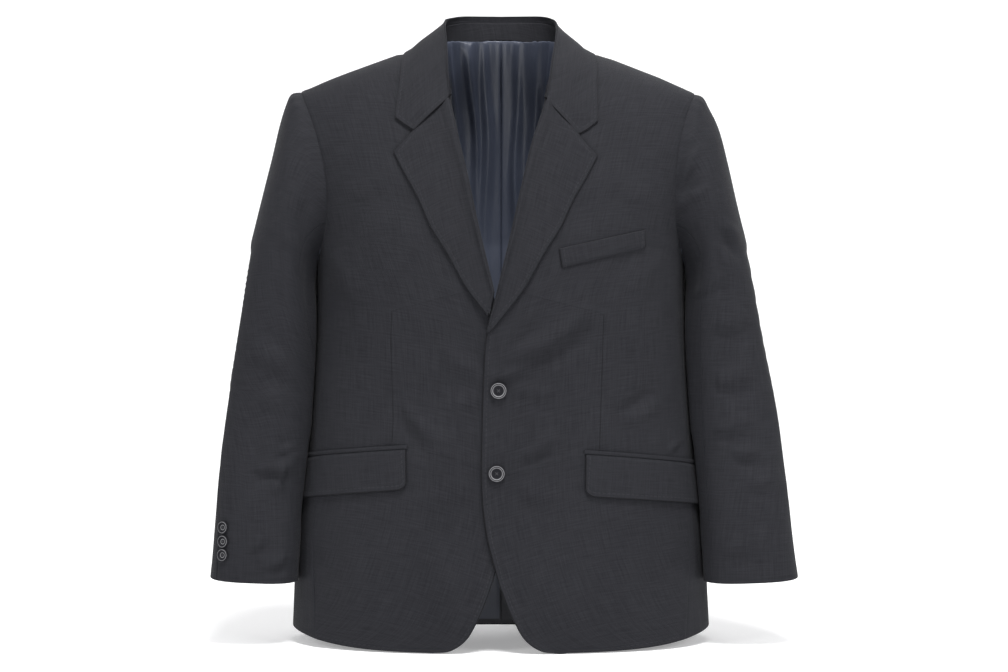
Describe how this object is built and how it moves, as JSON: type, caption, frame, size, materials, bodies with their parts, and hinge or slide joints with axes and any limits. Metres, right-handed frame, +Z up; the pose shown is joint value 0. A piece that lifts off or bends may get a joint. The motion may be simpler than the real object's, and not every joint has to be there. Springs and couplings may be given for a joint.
{
  "type": "blazer",
  "caption": "Single-breasted blazer with notch lapels, flap pockets, a breast welt, a centre vent and a lined back, filled out as worn.",
  "frame": {"origin": "between the shoulders, where the wearer holds the blazer up", "axes": "+Z up, -Y the front, +X the wearer's left"},
  "size_m": [0.7308, 0.2727, 0.7957],
  "materials": {
    "outer_cloth": "fine plain-weave charcoal wool, soft dull sheen",
    "lining": "slate-blue satin lining",
    "button": "dark polished button with a paler rim and a dished middle"
  },
  "bodies": {
    "root": {"front_left": "outer_cloth", "front_right": "outer_cloth", "side_left": "outer_cloth", "side_right": "outer_cloth", "back_left": "outer_cloth", "back_right": "outer_cloth", "lapel_left": "outer_cloth", "lapel_right": "outer_cloth", "collar": "outer_cloth", "collar_stand": "outer_cloth", "top_sleeve_left": "outer_cloth", "top_sleeve_right": "outer_cloth", "under_sleeve_left": "outer_cloth", "under_sleeve_right": "outer_cloth", "flap_left": "outer_cloth", "flap_right": "outer_cloth", "jet_left": "outer_cloth", "jet_right": "outer_cloth", "breast_welt": "outer_cloth", "back_lining_left": "lining", "back_lining_right": "lining", "front_button_1": "button", "front_button_2": "button", "sleeve_button_left_1": "button", "sleeve_button_left_2": "button", "sleeve_button_left_3": "button", "sleeve_button_right_1": "button", "sleeve_button_right_2": "button", "sleeve_button_right_3": "button"}
  },
  "joints": []
}
